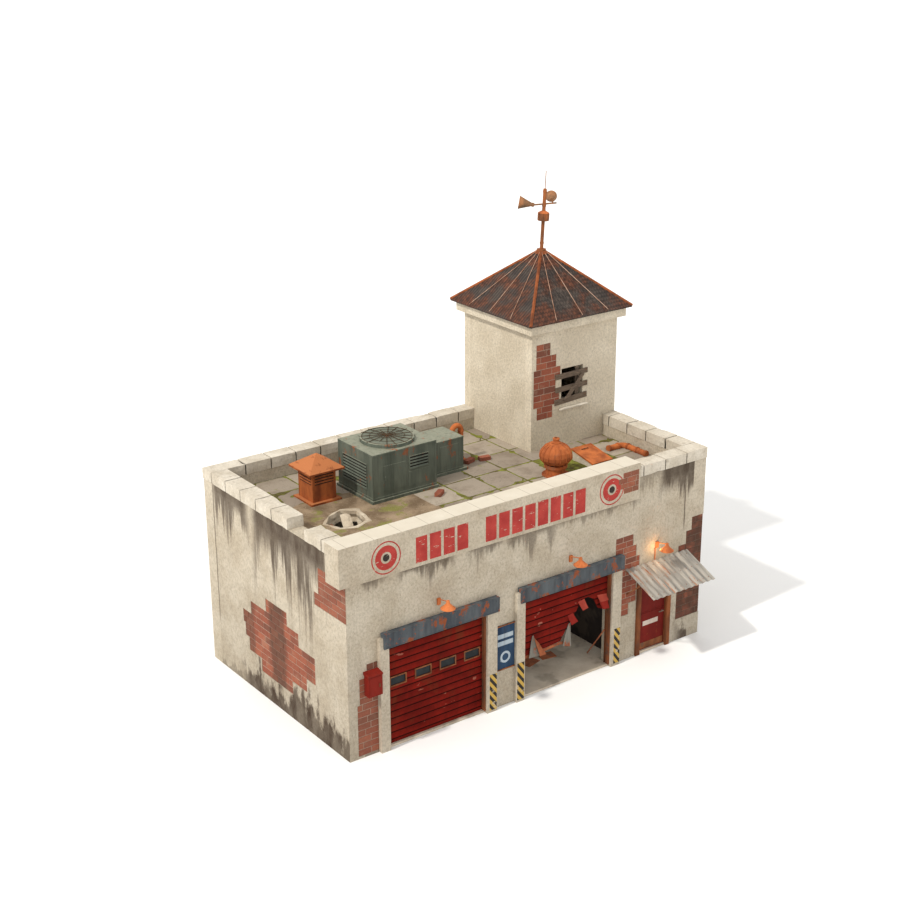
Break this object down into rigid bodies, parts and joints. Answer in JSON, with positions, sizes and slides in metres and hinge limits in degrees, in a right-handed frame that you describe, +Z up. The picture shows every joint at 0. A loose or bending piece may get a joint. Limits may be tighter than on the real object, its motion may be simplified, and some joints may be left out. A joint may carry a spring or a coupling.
{
  "type": "derelict fire station building",
  "caption": "Derelict masonry fire station with shuttered bays, a torn shutter, an awning over the entry door, roof plant and a square hose tower.",
  "frame": {"origin": "middle of the wall footprint on the ground", "axes": "+X right along the front, +Y to the back, +Z up"},
  "size_m": [15.66, 10.646, 16.0148],
  "materials": {
    "plaster": "weathered render",
    "brick": "old brick",
    "coping_stone": "pale cast stone",
    "concrete": "dusty concrete",
    "roofing": "mossy roof pavers",
    "blue_steel": "faded paint with rust",
    "rusty_steel": "rust",
    "red_paint": "scratched red paint",
    "dark_glass": "dirty dark glass",
    "dark_metal": "worn dark metal",
    "corrugated": "corrugated sheet with rust",
    "roof_sheet": "dark corrugated roof sheet",
    "banner_cloth": "faded blue sheet",
    "unit_green": "faded green paint",
    "timber": "grey weathered boards"
  },
  "bodies": {
    "station": {"floor_slab": "concrete", "front_wall_left": "plaster", "front_wall_middle": "plaster", "front_wall_entry_side": "plaster", "front_wall_right": "plaster", "front_wall_over_entry": "plaster", "front_wall_upper": "plaster", "left_wall": "plaster", "right_wall": "plaster", "back_wall": "plaster", "bay_partition": "concrete", "roof_slab": "roofing", "coping_left": "coping_stone", "coping_back": "coping_stone", "coping_right": "coping_stone", "coping_front": "coping_stone", "sign_band": "plaster", "door_piers": "plaster", "door_lintels": "blue_steel", "shutter_guides": "rusty_steel", "shutter_left": "red_paint", "shutter_windows": "dark_glass", "shutter_right": "red_paint", "shutter_debris": "rusty_steel", "entry_frame": "rusty_steel", "awning_sheet": "corrugated", "awning_frame": "rusty_steel", "wall_lamps": "rusty_steel", "wall_cabinet": "red_paint", "wall_banner": "banner_cloth", "tower_front_wall": "plaster", "tower_left_wall": "plaster", "tower_right_wall": "plaster", "tower_back_wall": "plaster", "tower_cornice": "plaster", "tower_roof": "roof_sheet", "window_boards": "timber", "window_sill": "coping_stone", "siren_mast": "rusty_steel", "siren_horns": "rusty_steel", "cooling_unit_large": "unit_green", "cooling_unit_small": "unit_green", "roof_vent": "rusty_steel", "turbine_base": "rusty_steel", "hatch_kerb": "coping_stone", "roof_pipes": "rusty_steel", "loose_bricks": "brick"},
    "door": {"entry_door": "red_paint", "entry_handle": "dark_metal"},
    "turbine": {"turbine_rotor": "rusty_steel"},
    "hatch": {"hatch_lid": "rusty_steel"}
  },
  "joints": [
    {"name": "entry_door_hinge", "type": "hinge", "parent": "station", "child": "door", "pos_m": [4.628, -4.28, 0.09], "axis": [0, 0, 1], "range_deg": [0, 105]},
    {"name": "turbine_spin", "type": "hinge", "parent": "station", "child": "turbine", "pos_m": [2.92, -1.7, 6.8], "axis": [0, 0, 1], "continuous": true},
    {"name": "roof_hatch_hinge", "type": "hinge", "parent": "station", "child": "hatch", "pos_m": [4.28, -2.1, 6.51], "axis": [1, 0, 0], "range_deg": [0, 80]}
  ]
}
